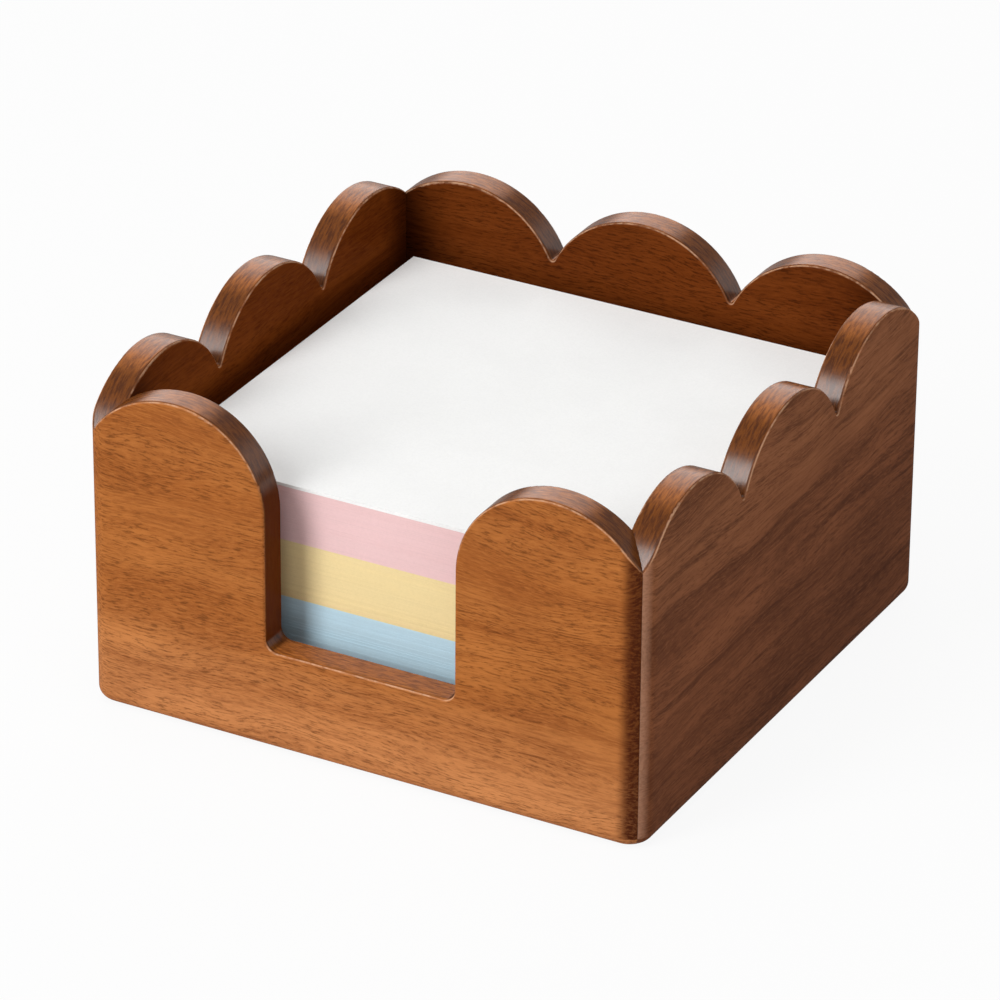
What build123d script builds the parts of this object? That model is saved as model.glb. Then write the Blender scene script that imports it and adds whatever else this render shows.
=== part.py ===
from build123d import *
import math
import os

# Memo pad holder: four scalloped walls with mitred corners round a raised floor,
# with a stack of coloured note pads standing inside. Millimetres, +Z up.
# The origin is the middle of the footprint, at the height of the surface it stands on.
# The front wall, with the finger notch, faces -Y.

# ---- driving dimensions ----

# notes
note_size = 76.0
blue_pad_thickness = 9.3
yellow_pad_thickness = 9.3
pink_pad_thickness = 8.7
white_sheets_thickness = 0.5
note_clearance = 3.0

# walls
wall_thickness = 5.0
valley_height = 42.3
scallop_rise = 10.3
scallops_per_wall = 3
notch_width = 31.2
sill_height = 16.4
notch_corner_radius = 1.8
valley_radius = 0.5
corner_radius = 3.8
bottom_edge_radius = 2.0
arris_radius = 0.5
mitre_gap = 0.04

# floor
floor_thickness = 4.0
floor_recess = 8.0
groove_depth = 2.5
groove_clearance = 0.05
floor_edge_gap = 0.3

# hidden corner splines
spline_thickness = 1.2
spline_inset = 1.8
spline_cover = 1.4
spline_end_cover = 2.0
spline_top_cover = 6.0
spline_clearance = 0.05

# two places nearer than this are one place
same_place = 0.01

# ---- derived dimensions ----

inner_size = note_size + 2 * note_clearance
outer_size = inner_size + 2 * wall_thickness
inner_half = inner_size / 2
outer_half = outer_size / 2
peak_height = valley_height + scallop_rise
floor_top = floor_recess + floor_thickness
groove_half = inner_half + groove_depth

# the front wall's shoulders are its outer scallops: from the peak a quarter circle turns
# down into each side of the notch
scallop_pitch = outer_size / scallops_per_wall
notch_half = notch_width / 2
shoulder_peak = outer_half - scallop_pitch / 2
shoulder_base = peak_height - (shoulder_peak - notch_half)

# a spline crosses the mitre square to it, a little outside the inner corner
spline_setback = spline_inset + spline_thickness / 2
spline_reach = math.sqrt(2) * (wall_thickness - spline_cover) - spline_inset - spline_thickness
spline_width = 2 * spline_reach
spline_bottom = floor_top + spline_end_cover
spline_top = valley_height - spline_top_cover
spline_centre = inner_half + spline_setback / math.sqrt(2)


# ---- wall outlines, drawn in the plane of the front wall ----

def rounded_corners(sketch, height, radius):
    """Round the outline's corners that lie inside the wall's ends at this height."""
    corners = []
    for vertex in sketch.vertices():
        if abs(vertex.Y - height) < same_place and abs(vertex.X) < inner_half:
            corners.append(vertex)
    return fillet(corners, radius)


def scalloped_outline():
    """Elevation of a plain wall: a board with a row of equal arcs along its top."""
    with BuildSketch(Plane.XZ) as sketch:
        with BuildLine():
            Polyline(
                (-outer_half, valley_height),
                (-outer_half, 0),
                (outer_half, 0),
                (outer_half, valley_height),
            )
            for index in range(scallops_per_wall):
                start = -outer_half + index * scallop_pitch
                ThreePointArc(
                    (start, valley_height),
                    (start + scallop_pitch / 2, peak_height),
                    (start + scallop_pitch, valley_height),
                )
        make_face()
        rounded_corners(sketch, valley_height, valley_radius)
    return sketch.sketch


def notched_outline():
    """Elevation of the front wall: two round shoulders with the finger notch between them."""
    with BuildSketch(Plane.XZ) as sketch:
        with BuildLine():
            for side in (-1, 1):
                peak = (side * shoulder_peak, peak_height)
                Line((side * outer_half, 0), (side * outer_half, valley_height))
                TangentArc(peak, (side * outer_half, valley_height), tangent=(side, 0))
                TangentArc(peak, (side * notch_half, shoulder_base), tangent=(-side, 0))
                Line((side * notch_half, shoulder_base), (side * notch_half, sill_height))
            Line((-notch_half, sill_height), (notch_half, sill_height))
            Line((-outer_half, 0), (outer_half, 0))
        make_face()
        rounded_corners(sketch, sill_height, notch_corner_radius)
    return sketch.sketch


# ---- walls ----

def mitred_block():
    """Plan of one wall at full height: mitred ends and rounded outer corners."""
    inset = mitre_gap / math.sqrt(2)
    mitred = Polygon(
        (-outer_half + inset, -outer_half),
        (outer_half - inset, -outer_half),
        (inner_half - inset, -inner_half),
        (-inner_half + inset, -inner_half),
        align=None,
    )
    rounded = RectangleRounded(outer_size, outer_size, corner_radius)
    return extrude(mitred & rounded, peak_height)


def floor_groove():
    """Space for the edge of the floor, cut into all four walls."""
    height = floor_thickness + 2 * groove_clearance
    groove = Box(2 * groove_half, 2 * groove_half, height)
    return Pos(0, 0, floor_recess + floor_thickness / 2) * groove


def spline_block(x_side, y_side, clearance):
    """A spline, or with a clearance its slot, standing across one corner's mitre."""
    block = Box(
        spline_thickness + 2 * clearance,
        spline_width + 2 * clearance,
        spline_top - spline_bottom + 2 * clearance,
    )
    middle = (spline_bottom + spline_top) / 2
    place = Pos(x_side * spline_centre, y_side * spline_centre, middle)
    return place * Rot(0, 0, 45 * x_side * y_side) * block


def is_on_mitre(edge):
    """True for an edge that lies in one of the wall's two mitred end faces."""
    points = [edge.position_at(share) for share in (0, 0.5, 1)]
    return all(abs(abs(point.X) + point.Y) < 2 * mitre_gap for point in points)


def rim_edges(wall):
    """The edges along the top outline, on the wall's inner and outer face."""
    chosen = []
    for face in wall.faces():
        crosses_wall = abs(face.normal_at().Y) < same_place
        is_foot = face.center().Z < same_place
        if is_foot or not crosses_wall:
            continue
        for edge in face.edges():
            spans_wall = abs(edge.tangent_at(0.5).Y) > 1 - same_place
            if not spans_wall and not is_on_mitre(edge):
                chosen.append(edge)
    return chosen


def foot_edges(wall):
    """The edges along the foot of the wall's outer face."""
    foot = wall.faces().sort_by(Axis.Z)[0]
    chosen = []
    for edge in foot.edges():
        outside = edge.position_at(0.5).Y < -outer_half + corner_radius
        if outside and not is_on_mitre(edge):
            chosen.append(edge)
    return chosen


def build_wall(outline):
    """A wall in the front position, from its outline."""
    elevation = extrude(outline, outer_size, both=True)
    wall = mitred_block() & elevation
    wall = fillet(rim_edges(wall), arris_radius)
    wall = fillet(foot_edges(wall), bottom_edge_radius)
    wall -= floor_groove()
    for side in (-1, 1):
        wall -= spline_block(side, -1, spline_clearance)
    return wall.solid()


def turned(wall, angle):
    """A copy of a front wall, turned to another side of the box."""
    return Rot(0, 0, angle) * wall


# ---- floor and notes ----

def build_floor():
    """Square floor board, captive in the groove with room at its edges."""
    size = 2 * (groove_half - floor_edge_gap)
    return Pos(0, 0, floor_recess + floor_thickness / 2) * Box(size, size, floor_thickness)


def build_stack(layers):
    """Note pads lying one on the other, from the floor up."""
    pads = {}
    bottom = floor_top
    for name, thickness in layers:
        pads[name] = Pos(0, 0, bottom + thickness / 2) * Box(note_size, note_size, thickness)
        bottom += thickness
    return pads


# ---- assembly ----

note_layers = [
    ("blue_pad", blue_pad_thickness),
    ("yellow_pad", yellow_pad_thickness),
    ("pink_pad", pink_pad_thickness),
    ("white_sheets", white_sheets_thickness),
]

spline_corners = {
    "corner_spline_front_left": (-1, -1),
    "corner_spline_front_right": (1, -1),
    "corner_spline_back_left": (-1, 1),
    "corner_spline_back_right": (1, 1),
}


def build_parts():
    """Every piece of the holder in its place, by name."""
    scalloped_wall = build_wall(scalloped_outline())
    parts = {
        "front_panel": build_wall(notched_outline()),
        "right_panel": turned(scalloped_wall, 90),
        "back_panel": turned(scalloped_wall, 180),
        "left_panel": turned(scalloped_wall, 270),
        "base_panel": build_floor(),
    }
    for name, (x_side, y_side) in spline_corners.items():
        parts[name] = spline_block(x_side, y_side, 0)
    parts.update(build_stack(note_layers))
    return parts


os.makedirs("parts", exist_ok=True)
for node, solid in build_parts().items():
    solid.label = node
    export_step(solid, f"parts/{node}.step")
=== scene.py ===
import math
import random
from collections import namedtuple

import bpy
from mathutils import Matrix, Vector


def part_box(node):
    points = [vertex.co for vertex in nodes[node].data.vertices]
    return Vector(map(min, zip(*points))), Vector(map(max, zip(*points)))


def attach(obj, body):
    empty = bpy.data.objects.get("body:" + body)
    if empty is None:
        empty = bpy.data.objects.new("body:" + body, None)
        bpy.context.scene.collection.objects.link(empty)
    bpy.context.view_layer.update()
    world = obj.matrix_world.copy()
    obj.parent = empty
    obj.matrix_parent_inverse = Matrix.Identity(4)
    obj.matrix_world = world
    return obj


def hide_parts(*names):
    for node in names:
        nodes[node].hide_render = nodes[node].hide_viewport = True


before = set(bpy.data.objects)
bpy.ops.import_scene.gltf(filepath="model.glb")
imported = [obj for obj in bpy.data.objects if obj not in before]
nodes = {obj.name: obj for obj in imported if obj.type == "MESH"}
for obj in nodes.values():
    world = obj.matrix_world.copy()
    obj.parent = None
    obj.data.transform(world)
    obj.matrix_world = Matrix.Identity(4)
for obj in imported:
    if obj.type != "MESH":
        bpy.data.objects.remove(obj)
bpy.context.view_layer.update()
scene = bpy.context.scene

MM = 0.001
X, Y, Z = 0, 1, 2
WHITE = (1.0, 1.0, 1.0)


# ---- node graphs ----

class Graph:
    """The node tree of a material or of the world, with short calls for the nodes used most."""

    SOCKETS = {"color": "Base Color", "roughness": "Roughness", "normal": "Normal",
               "level": "Specular IOR Level", "coat": "Coat Weight", "coat_roughness": "Coat Roughness"}

    def __init__(self, owner):
        owner.use_nodes = True
        self.owner = owner
        self.tree = owner.node_tree
        self.tree.nodes.clear()

    def connect(self, value, socket):
        """Link the value into the socket, or set it there. Colours are three numbers, and opaque."""
        if isinstance(value, bpy.types.NodeSocket):
            self.tree.links.new(value, socket)
        elif socket.type == "RGBA":
            socket.default_value = (*value, 1.0)
        else:
            socket.default_value = value

    def add(self, kind, inputs=None, **settings):
        made = self.tree.nodes.new(kind)
        for key, value in settings.items():
            setattr(made, key, value)
        for key, value in (inputs or {}).items():
            self.connect(value, made.inputs[key])
        return made

    def math(self, operation, a, b=0.0):
        return self.add("ShaderNodeMath", {0: a, 1: b}, operation=operation).outputs[0]

    def times(self, a, b):
        return self.math("MULTIPLY", a, b)

    def rest_of(self, share):
        return self.math("SUBTRACT", 1.0, share)

    def vector_math(self, operation, a, b):
        return self.add("ShaderNodeVectorMath", {0: a, 1: b}, operation=operation).outputs[0]

    def split(self, vector):
        return self.add("ShaderNodeSeparateXYZ", {0: vector}).outputs

    def joined(self, x, y, z):
        return self.add("ShaderNodeCombineXYZ", {0: x, 1: y, 2: z}).outputs[0]

    def mix(self, factor, a, b, blend="MIX"):
        inputs = {0: factor, 6: a, 7: b}
        return self.add("ShaderNodeMix", inputs, data_type="RGBA", blend_type=blend).outputs[2]

    def mix_shaders(self, factor, a, b):
        return self.add("ShaderNodeMixShader", {0: factor, 1: a, 2: b}).outputs[0]

    def step(self, value, low, high, to_low=0.0, to_high=1.0):
        """A smooth ramp from to_low at low to to_high at high. Where low is above high it falls."""
        inputs = {"Value": value, "From Min": low, "From Max": high, "To Min": to_low, "To Max": to_high}
        return self.add("ShaderNodeMapRange", inputs, interpolation_type="SMOOTHSTEP").outputs[0]

    def noise(self, vector, scale, detail=2.0, roughness=0.5):
        inputs = {"Vector": vector, "Scale": scale, "Detail": detail, "Roughness": roughness}
        return self.add("ShaderNodeTexNoise", inputs).outputs[0]

    def pattern(self, vector, along, across, shift, detail=2.0, roughness=0.5, depth=None):
        """Noise with its own scale on each axis, taken from the part of the noise that shift names."""
        scales = (along, across, across if depth is None else depth)
        scaled = self.vector_math("MULTIPLY", vector, scales)
        moved = self.vector_math("ADD", scaled, (shift, shift * 1.7, shift * 0.6))
        return self.noise(moved, 1.0, detail, roughness)

    def bump(self, height, distance, strength):
        inputs = {"Height": height, "Distance": distance, "Strength": strength}
        return self.add("ShaderNodeBump", inputs).outputs[0]

    def principled(self, **inputs):
        """End the graph in one Principled shader, and return the material."""
        named = {self.SOCKETS[name]: value for name, value in inputs.items()}
        shader = self.add("ShaderNodeBsdfPrincipled", named)
        self.add("ShaderNodeOutputMaterial", {"Surface": shader.outputs[0]})
        return self.owner


def new_graph(name):
    """The empty graph of a new material."""
    return Graph(bpy.data.materials.new(name))


def add_object(name, vertices, faces, material):
    """A new mesh object in the scene, with one material."""
    mesh = bpy.data.meshes.new(name)
    mesh.from_pydata(vertices, [], faces)
    mesh.update()
    mesh.materials.append(material)
    made = bpy.data.objects.new(name, mesh)
    scene.collection.objects.link(made)
    return made


def stack_faces(rings):
    """Faces that close a stack of four-cornered rings, listed from the lowest ring up."""
    faces = [(3, 2, 1, 0)]
    top = 4 * (rings - 1)
    for first in range(0, top, 4):
        for corner in range(4):
            after = (corner + 1) % 4
            faces.append((first + corner, first + after, first + 4 + after, first + 4 + corner))
    faces.append((top, top + 1, top + 2, top + 3))
    return faces


# ---- wood ----

# colours of the sawn rims: light and dark growth rings, end grain, and a painted highlight that pales
# the level crests
RIM_LIGHT = (0.153, 0.043, 0.005)
RIM_DARK = (0.065, 0.016, 0.002)
END_SHADE = (0.127, 0.027, 0.004)
CREST_HIGHLIGHT = (2.5, 2.8, 4.4)

# painted highlight along the upper arrises
ARRIS_HIGHLIGHT = (0.591, 0.348, 0.211)
# painted shade on the faces inside the box, and more of it near the inner corners
INNER_SHADE_TINT = (0.50, 0.40, 0.35)
NOOK_SHADE_TINT = (0.50, 0.45, 0.40)
PORE_DARKNESS = 0.42           # a pore's colour, as a share of the board's dark shade
OIL_ROUGHNESS = 0.24
DRIFT = 9.0                    # the widest that the fibres wander across a board, in millimetres
RELIEF = 0.05 * MM

# how far from the middle of a wall the painted shade on its inner face deepens, and its rounded end
# starts
NOOK_SHADE_START, NOOK_SHADE_FULL = 33 * MM, 41 * MM
END_START, END_FULL = 42.5 * MM, 44.4 * MM

# painted light on one rounded end of a board, a dark painted shade on the front board and a pale painted
# reflection on the right one: side is its sign along the grain, and share how strong the shade gets
CornerLight = namedtuple("CornerLight", "side shade share start full")
# a tint of the lower part of a board, which starts at the height top and is full at the height end
Foot = namedtuple("Foot", "top end tint")


class Walnut(Graph):
    """The graph of one walnut board, with what its steps share: place, faces, fibres and pores."""

    def __init__(self, name, grain, through, inward, seed):
        super().__init__(bpy.data.materials.new(name))
        self.seed = seed
        coordinates = self.add("ShaderNodeTexCoord").outputs
        place = self.split(coordinates["Object"])
        facing = self.split(coordinates["Normal"])
        across = X + Y + Z - grain - through

        self.along = place[grain]
        self.reach = self.math("ABSOLUTE", self.along)
        self.height = place[Z]
        turned = self.joined(place[grain], place[across], place[through])
        self.local = self.vector_math("MULTIPLY", turned, (1 / MM,) * 3)

        self.up = facing[Z]
        self.face = self.math("ABSOLUTE", facing[through])
        self.inside = self.step(self.times(facing[through], inward), 0.2, 0.8)
        self.upright = self.step(self.math("ABSOLUTE", self.up), 0.30, 0.15)
        self.cut = self.step(self.math("ABSOLUTE", facing[grain]), 0.93, 0.98)
        ends = self.times(self.step(self.reach, END_START, END_FULL), self.upright)
        self.off_ends = self.rest_of(ends)
        self.rim = self.times(self.step(self.face, 0.70, 0.30), self.off_ends)

        self.fibre = self.wandering()
        self.fine = self.pattern(self.fibre, 0.10, 2.6, seed + 5.3, 4.0, 0.65)
        self.grit = self.pattern(self.fibre, 0.52, 3.8, seed + 7.7, 3.0, 0.64)
        self.fleck = self.flecks()

    def wandering(self):
        """The board's own coordinates, with the fibres wandering a little along it."""
        drift = self.pattern(self.local, 0.022, 0.07, self.seed)
        drift = self.times(self.math("SUBTRACT", drift, 0.5), DRIFT)
        return self.vector_math("ADD", self.local, self.joined(0.0, drift, self.times(drift, 0.6)))

    def flecks(self):
        """Open pores: short flecks along the grain, denser in places."""
        crowd = self.pattern(self.fibre, 0.035, 0.16, self.seed + 2.2)
        return self.times(self.step(self.grit, 0.51, 0.66), self.step(crowd, 0.30, 0.50, 0.35, 1.0))

    def figured(self, shades, streaks):
        """Broad figure, narrower streaks, fine fibres and darker patches."""
        dark, middle, light = shades
        figure = self.pattern(self.fibre, 0.010, 0.14, self.seed + 3.1, 3.0, 0.55)
        bands = self.pattern(self.fibre, 0.016, 0.55, self.seed + 9.7, 4.0, 0.6)
        patch = self.pattern(self.local, 0.05, 0.06, self.seed + 1.9)
        color = self.mix(self.step(figure, 0.36, 0.66), middle, light)
        color = self.mix(self.step(bands, 0.50, 0.34, to_high=0.75 * streaks), color, dark)
        color = self.mix(self.step(self.fine, 0.56, 0.36, to_high=0.35), color, dark)
        color = self.mix(self.step(self.fine, 0.52, 0.70, to_high=0.25), color, light)
        return self.mix(self.step(patch, 0.62, 0.36, to_high=0.30), color, dark)

    def pored(self, color, pore_shade, light, pores):
        """Dark pores, and light wood between them."""
        color = self.mix(self.times(self.fleck, 0.66 * pores), color, pore_shade)
        return self.mix(self.step(self.grit, 0.47, 0.36, to_high=0.40), color, light)

    def painted_inside_shade(self, color, inner_shade_tint):
        """Painted shade: the face towards the notes is darker, most of all in the inner corners."""
        color = self.mix(self.inside, color, inner_shade_tint, "MULTIPLY")
        nook = self.times(self.step(self.reach, NOOK_SHADE_START, NOOK_SHADE_FULL), self.inside)
        return self.mix(nook, color, NOOK_SHADE_TINT, "MULTIPLY")

    def tinted_foot(self, color, foot):
        return self.mix(self.step(self.height, foot.top, foot.end), color, foot.tint, "MULTIPLY")

    def painted_corner_light(self, color, corner):
        """Painted light on one rounded end of the board, broken up by the fibres."""
        end = self.times(self.along, corner.side)
        painted_light = self.step(end, corner.start, corner.full, to_high=corner.share)
        painted_light = self.times(painted_light, self.step(self.fine, 0.35, 0.60, 0.72, 1.0))
        return self.mix(self.times(painted_light, self.upright), color, corner.shade)

    def sawn_rims(self, color, pore_shade, pores):
        """On the sawn rims the growth rings run along the outline, and the level crests get a painted
        highlight.
        """
        rings = self.pattern(self.local, 0.42, 0.42, self.seed + 6.1, 4.0, 0.65, depth=2.6)
        sawn = self.mix(self.step(rings, 0.34, 0.64), RIM_DARK, RIM_LIGHT)
        sawn = self.mix(self.times(self.fleck, 0.14 * pores), sawn, pore_shade)
        sawn = self.mix(self.times(self.cut, 0.8), sawn, END_SHADE)
        # painted highlight on the level crests
        sawn = self.mix(self.step(self.up, 0.88, 0.99), sawn, CREST_HIGHLIGHT, "MULTIPLY")
        return self.mix(self.rim, color, sawn)

    def painted_arris_highlights(self, color):
        """A painted highlight along the upper arrises, broken here and there."""
        arris = self.times(self.step(self.face, 0.45, 0.66), self.step(self.face, 0.93, 0.76))
        arris = self.times(arris, self.off_ends)
        breaks = self.pattern(self.local, 0.55, 0.55, self.seed + 4.4, 3.0, 0.6)
        arris = self.times(arris, self.step(breaks, 0.38, 0.60, 0.15, 0.75))
        arris = self.times(arris, self.step(self.up, 0.10, 0.42))
        return self.mix(arris, color, ARRIS_HIGHLIGHT)

    def oil(self, sheen):
        """The film of oil: thin on the faces, thicker on the slopes and crests of the rims."""
        film = self.times(self.rest_of(self.times(self.inside, 0.8)), sheen)
        slope = self.step(self.up, 0.80, 0.60, 0.25, 0.80)
        crest = self.step(self.up, 0.90, 0.99, 0.0, 0.35)
        rim = self.times(self.rim, self.rest_of(self.cut))
        return self.math("ADD", film, self.times(rim, self.math("ADD", slope, crest)))

    def surfaced(self, color, sheen):
        """Close the graph with the colour, the relief of the fibres and pores, and the oil."""
        smooth = self.step(self.fine, 0.3, 0.7, 0.55, 0.65)
        rough = self.math("ADD", smooth, self.times(self.fleck, 0.2))
        relief = self.math("SUBTRACT", self.times(self.fine, 0.35), self.times(self.fleck, 0.8))
        normal = self.bump(relief, RELIEF, 0.7)
        return self.principled(color=color, roughness=rough, normal=normal, level=0.0,
                               coat=self.oil(sheen), coat_roughness=OIL_ROUGHNESS)


def walnut(name, grain, through, shades, seed, streaks, pores, inward=0,
           inner_shade_tint=INNER_SHADE_TINT, corner=None, foot=None, sheen=0.10):
    """Oiled walnut. grain and through are the object axes along the grain and through the
    board; shades are its dark, middle and light colours. inward is the direction along the
    through axis in which a wall faces the notes, where it gets painted shade, and 0 for a board
    with no face of painted shade."""
    board = Walnut(name, grain, through, inward, seed)
    dark, _, light = shades
    pore_shade = tuple(PORE_DARKNESS * c for c in dark)
    color = board.figured(shades, streaks)
    color = board.pored(color, pore_shade, light, pores)
    color = board.painted_inside_shade(color, inner_shade_tint)
    if foot:
        color = board.tinted_foot(color, foot)
    if corner:
        color = board.painted_corner_light(color, corner)
    color = board.sawn_rims(color, pore_shade, pores)
    color = board.painted_arris_highlights(color)
    return board.surfaced(color, sheen)


# dark, middle and light
FRONT_SHADES = ((0.211, 0.057, 0.012), (0.364, 0.114, 0.024), (0.475, 0.165, 0.039))
RIGHT_SHADES = ((0.132, 0.043, 0.018), (0.264, 0.093, 0.039), (0.422, 0.158, 0.068))
BACK_SHADES = ((0.232, 0.065, 0.015), (0.380, 0.121, 0.028), (0.485, 0.169, 0.044))
SPLINE_SHADES = ((0.348, 0.200, 0.095), (0.506, 0.327, 0.169), (0.633, 0.443, 0.253))

wood = {
    "front_panel": walnut(
        "walnut_front", X, Y, FRONT_SHADES, 11.0, streaks=0.45, pores=0.9, inward=1,
        # painted shade: a dark strip on the front board's rounded right end
        corner=CornerLight(side=1, shade=(0.070, 0.013, 0.002), share=1.0, start=41.6 * MM, full=43.9 * MM),
        # painted reflection: the front board grows paler and greyer towards its foot
        foot=Foot(top=22 * MM, end=4 * MM, tint=(1.24, 1.44, 2.1)),
    ),
    "back_panel": walnut(
        "walnut_back", X, Y, BACK_SHADES, 37.0, streaks=0.6, pores=1.0, inward=-1,
        # painted shade inside the box
        inner_shade_tint=(0.35, 0.24, 0.16),
    ),
    "left_panel": walnut(
        "walnut_left", Y, X, BACK_SHADES, 53.0, streaks=0.7, pores=0.6, inward=1,
        # painted shade inside the box
        inner_shade_tint=(0.53, 0.36, 0.21),
    ),
    "right_panel": walnut(
        "walnut_right", Y, X, RIGHT_SHADES, 71.0, streaks=0.85, pores=0.5, inward=-1, sheen=0.05,
        # painted reflection: a pale strip on the right board's rounded front end
        corner=CornerLight(side=-1, shade=(0.560, 0.290, 0.180), share=0.70, start=43.1 * MM, full=44.8 * MM),
        foot=Foot(top=46 * MM, end=26 * MM, tint=(0.78, 0.72, 0.70)),
    ),
    "base_panel": walnut("walnut_floor", X, Z, BACK_SHADES, 91.0, streaks=0.8, pores=0.8),
}
spline_wood = walnut("spline_wood", Z, X, SPLINE_SHADES, 23.0, streaks=0.4, pores=0.5)
for node in nodes:
    if node.startswith("corner_spline"):
        wood[node] = spline_wood
for node, material in wood.items():
    for place in nodes[node].material_slots:
        place.material = material


# ---- glue in the mitres ----

GLUE_COLOR = (0.050, 0.018, 0.006)
GLUE_HALF_THICKNESS = 0.012 * MM
GLUE_INNER, GLUE_OUTER = 41.1 * MM, 44.3 * MM      # how far out a glue line lies, along x and y
# each span's bottom, its top at the inner end and its top at the outer end: the first is under
# the floor, and the second over the splines, where the top follows the end of the scallops
GLUE_SPANS = (
    (0.8 * MM, 7.9 * MM, 7.9 * MM),
    (36.5 * MM, 48.2 * MM, 44.7 * MM),
)


def glue_plate(x_sign, y_sign, bottom, inner_top, outer_top):
    """Corners and faces of one thin plate that stands along a corner's mitre."""
    side = GLUE_HALF_THICKNESS / math.sqrt(2)
    corners = []
    for inner_height, outer_height in ((bottom, bottom), (inner_top, outer_top)):
        for out, turn, height in (
            (GLUE_INNER, -side, inner_height),
            (GLUE_OUTER, -side, outer_height),
            (GLUE_OUTER, side, outer_height),
            (GLUE_INNER, side, inner_height),
        ):
            corners.append((x_sign * (out - turn), y_sign * (out + turn), height))
    faces = stack_faces(2)
    if x_sign * y_sign < 0:
        faces = [face[::-1] for face in faces]
    return corners, faces


def glue_lines():
    """Plates of glue in the four mitres, where the splines leave them open."""
    vertices, faces = [], []
    for x_sign, y_sign in ((1, 1), (-1, 1), (-1, -1), (1, -1)):
        for span in GLUE_SPANS:
            first = len(vertices)
            corners, sides = glue_plate(x_sign, y_sign, *span)
            vertices += corners
            faces += [tuple(first + corner for corner in face) for face in sides]
    glue = new_graph("glue").principled(color=GLUE_COLOR, roughness=0.7, level=0.1)
    piece = add_object("glue_lines", vertices, faces, glue)
    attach(piece, "holder")


glue_lines()


# ---- note pads ----

SHEET = 0.1 * MM           # thickness of one sheet
STRAY = 0.04 * MM          # the furthest that a sheet lies out of line, to any side
LEAN_KEPT = 0.85           # share of a sheet's lean that the next sheet takes over
LEAN_CHANGE = 0.25         # what each sheet adds to the lean, as a share of the stray
LOOSENESS = 0.3            # how far each sheet lies from the lean, as a share of the stray

FIBRE_SCALE, CLOUD_SCALE = 3.2, 0.09
SHADE_TONE, EDGE_TONE = 0.86, 0.55      # shares of the paper's colour
EDGE_LINES = 0.12                       # how strongly the gaps between cut sheets show
PAPER_RELIEF = 0.02 * MM


def paper(name, color):
    """Uncoated paper: faint fibre mottle, and the cut edges of the sheets on the sides."""
    g = new_graph(name)
    coordinates = g.add("ShaderNodeTexCoord").outputs
    local = g.vector_math("MULTIPLY", coordinates["Object"], (1 / MM,) * 3)
    side = g.step(g.math("ABSOLUTE", g.split(coordinates["Normal"])[Z]), 0.9, 0.3)
    fibres = g.noise(local, FIBRE_SCALE, 4.0, 0.6)
    cloud = g.noise(local, CLOUD_SCALE)
    leaves = g.pattern(local, 0.05, 0.05, 0.0, 3.0, 0.7, depth=9.0)

    shade = tuple(c * SHADE_TONE for c in color)
    deep = tuple(c * EDGE_TONE for c in color)
    tone = g.mix(g.step(fibres, 0.35, 0.7, to_high=0.25), color, shade)
    tone = g.mix(g.step(cloud, 0.4, 0.65, to_high=0.1), tone, shade)
    tone = g.mix(g.times(g.step(leaves, 0.50, 0.36, to_high=EDGE_LINES), side), tone, deep)

    rough = g.step(fibres, 0.3, 0.7, 0.82, 0.95)
    height = g.math("ADD", g.times(fibres, 0.4), g.times(g.times(leaves, side), 1.6))
    normal = g.bump(height, PAPER_RELIEF, 0.5)
    return g.principled(color=tone, roughness=rough, normal=normal, level=0.1)


def sheet_stack(node, body, material, seed):
    """Closed stack of sheets in the node's box, each sheet a little out of line with the next."""
    low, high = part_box(node)
    sheets = round((high.z - low.z) / SHEET)
    pitch = (high.z - low.z) / sheets
    draw = random.Random(seed)
    lean = (0.0, 0.0)
    vertices = []
    for index in range(sheets):
        lean = [LEAN_KEPT * v + draw.uniform(-1, 1) * LEAN_CHANGE * STRAY for v in lean]
        loose = [v + draw.uniform(-1, 1) * LOOSENESS * STRAY for v in lean]
        move_x, move_y = (max(-STRAY, min(STRAY, v)) for v in loose)
        left, right = low.x + STRAY + move_x, high.x - STRAY + move_x
        front, back = low.y + STRAY + move_y, high.y - STRAY + move_y
        for height in (low.z + index * pitch, low.z + (index + 1) * pitch):
            vertices += [(left, front, height), (right, front, height),
                         (right, back, height), (left, back, height)]
    piece = add_object(node + "_sheets", vertices, stack_faces(2 * sheets), material)
    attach(piece, body)
    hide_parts(node)


PADS = (
    ("blue_pad", "blue", "blue_paper", (0.52, 0.72, 0.83), 3),
    ("yellow_pad", "yellow", "yellow_paper", (0.87, 0.70, 0.37), 5),
    ("pink_pad", "pink", "pink_paper", (0.84, 0.58, 0.58), 7),
    ("white_sheets", "white", "white_paper", (0.90, 0.90, 0.89), 9),
)
for node, body, slot, color, seed in PADS:
    sheet_stack(node, body, paper(slot, color), seed)


# ---- floor and background ----

FLOOR_HALF = 6.0
FLOOR_DROP = 0.2 * MM          # keeps the floor clear of the holder's underside
FLOOR_DARK, FLOOR_LIGHT = (0.70, 0.70, 0.70), (0.74, 0.74, 0.74)
FLOOR_WHITENESS = 0.92         # how much plain white covers the floor where it is seen
AMBIENT = 0.15


def seen_directly(g):
    """1 for the rays that look at the background, and 0 for those that carry its light."""
    path = g.add("ShaderNodeLightPath").outputs
    seen = g.math("MAXIMUM", path["Is Camera Ray"], path["Is Glossy Ray"])
    return g.math("MAXIMUM", seen, path["Is Transmission Ray"])


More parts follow.
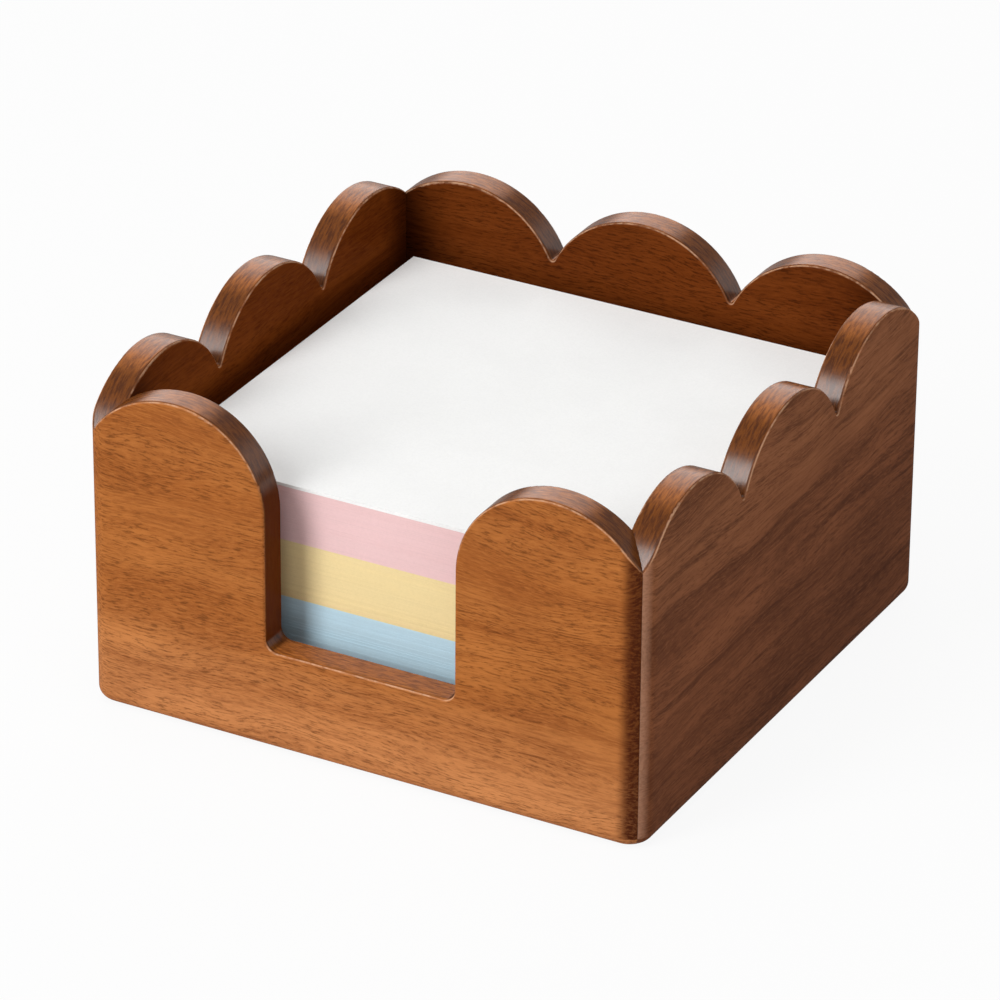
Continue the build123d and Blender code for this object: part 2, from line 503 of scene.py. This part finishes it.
def build_floor():
    """A floor that takes faint shadows and otherwise looks plain white."""
    g = new_graph("studio_floor")
    local = g.add("ShaderNodeTexCoord").outputs["Object"]
    tone = g.mix(g.noise(local, 6.0), FLOOR_DARK, FLOOR_LIGHT)
    own = g.add("ShaderNodeBsdfDiffuse", {"Color": tone}).outputs[0]
    plain = g.add("ShaderNodeEmission", {"Color": WHITE, "Strength": 1.0}).outputs[0]
    seen = g.times(seen_directly(g), FLOOR_WHITENESS)
    g.add("ShaderNodeOutputMaterial", {"Surface": g.mix_shaders(seen, own, plain)})
    corners = [(x * FLOOR_HALF, y * FLOOR_HALF, 0) for x, y in ((-1, -1), (1, -1), (1, 1), (-1, 1))]
    floor = add_object("studio_floor", corners, [(0, 1, 2, 3)], g.owner)
    floor.location.z = -FLOOR_DROP


def build_world():
    """Dim light from all round, behind which the background looks plain white."""
    scene.world = bpy.data.worlds.new("studio")
    g = Graph(scene.world)
    ambient = g.add("ShaderNodeBackground", {"Color": WHITE, "Strength": AMBIENT}).outputs[0]
    plain = g.add("ShaderNodeBackground", {"Color": WHITE, "Strength": 1.0}).outputs[0]
    g.add("ShaderNodeOutputWorld", {"Surface": g.mix_shaders(seen_directly(g), ambient, plain)})


build_floor()
build_world()


# ---- light ----

LAMP_AIM = Vector((0, 0, 0.03))


def towards(azimuth, elevation):
    """Unit vector from the holder to a place round it. Azimuth 0 is in front, 90 to the right."""
    a, e = math.radians(azimuth), math.radians(elevation)
    return Vector((math.sin(a) * math.cos(e), -math.cos(a) * math.cos(e), math.sin(e)))


def area_light(name, azimuth, elevation, distance, width, height, power, mirrored=True):
    """Soft box that faces the holder. One that isn't mirrored leaves no gloss."""
    data = bpy.data.lights.new(name, "AREA")
    data.shape = "RECTANGLE"
    data.size, data.size_y = width, height
    data.energy = power
    lamp = bpy.data.objects.new(name, data)
    direction = towards(azimuth, elevation)
    lamp.location = LAMP_AIM + direction * distance
    lamp.rotation_euler = direction.to_track_quat("Z", "Y").to_euler()
    lamp.visible_glossy = mirrored
    scene.collection.objects.link(lamp)


area_light("key_light", -25, 30, distance=1.2, width=0.45, height=0.95, power=11.2)
area_light("top_light", -10, 82, distance=4.0, width=2.8, height=2.8, power=80.0, mirrored=False)
area_light("side_light", 62, 24, distance=1.3, width=0.7, height=0.7, power=1.1)
area_light("back_light", 206, 26, distance=1.3, width=1.0, height=0.9, power=4.3)


# ---- camera ----

CAMERA_TARGET = Vector((-0.001297, -0.001207, 0.024339))
CAMERA_DISTANCE = 0.93296
CAMERA_AZIMUTH, CAMERA_ELEVATION, CAMERA_ROLL = 28.308, 27.573, 0.472
CAMERA_LENS, CAMERA_SENSOR = 225.336, 36.0
CAMERA_NEAR, CAMERA_FAR = 0.01, 30


def build_camera():
    """The camera of the photo, which looks down at the front right corner."""
    backward = towards(CAMERA_AZIMUTH, CAMERA_ELEVATION)
    right = (-backward).cross(Vector((0, 0, 1))).normalized()
    up = right.cross(-backward)
    roll = math.radians(CAMERA_ROLL)
    rolled_right = right * math.cos(roll) + up * math.sin(roll)
    rolled_up = up * math.cos(roll) - right * math.sin(roll)
    data = bpy.data.cameras.new("camera")
    data.sensor_width = CAMERA_SENSOR
    data.lens = CAMERA_LENS
    data.clip_start, data.clip_end = CAMERA_NEAR, CAMERA_FAR
    camera = bpy.data.objects.new("camera", data)
    turn = Matrix((rolled_right, rolled_up, backward)).transposed().to_4x4()
    camera.matrix_world = Matrix.Translation(CAMERA_TARGET + backward * CAMERA_DISTANCE) @ turn
    scene.collection.objects.link(camera)
    scene.camera = camera


build_camera()
scene.view_settings.view_transform = "Standard"
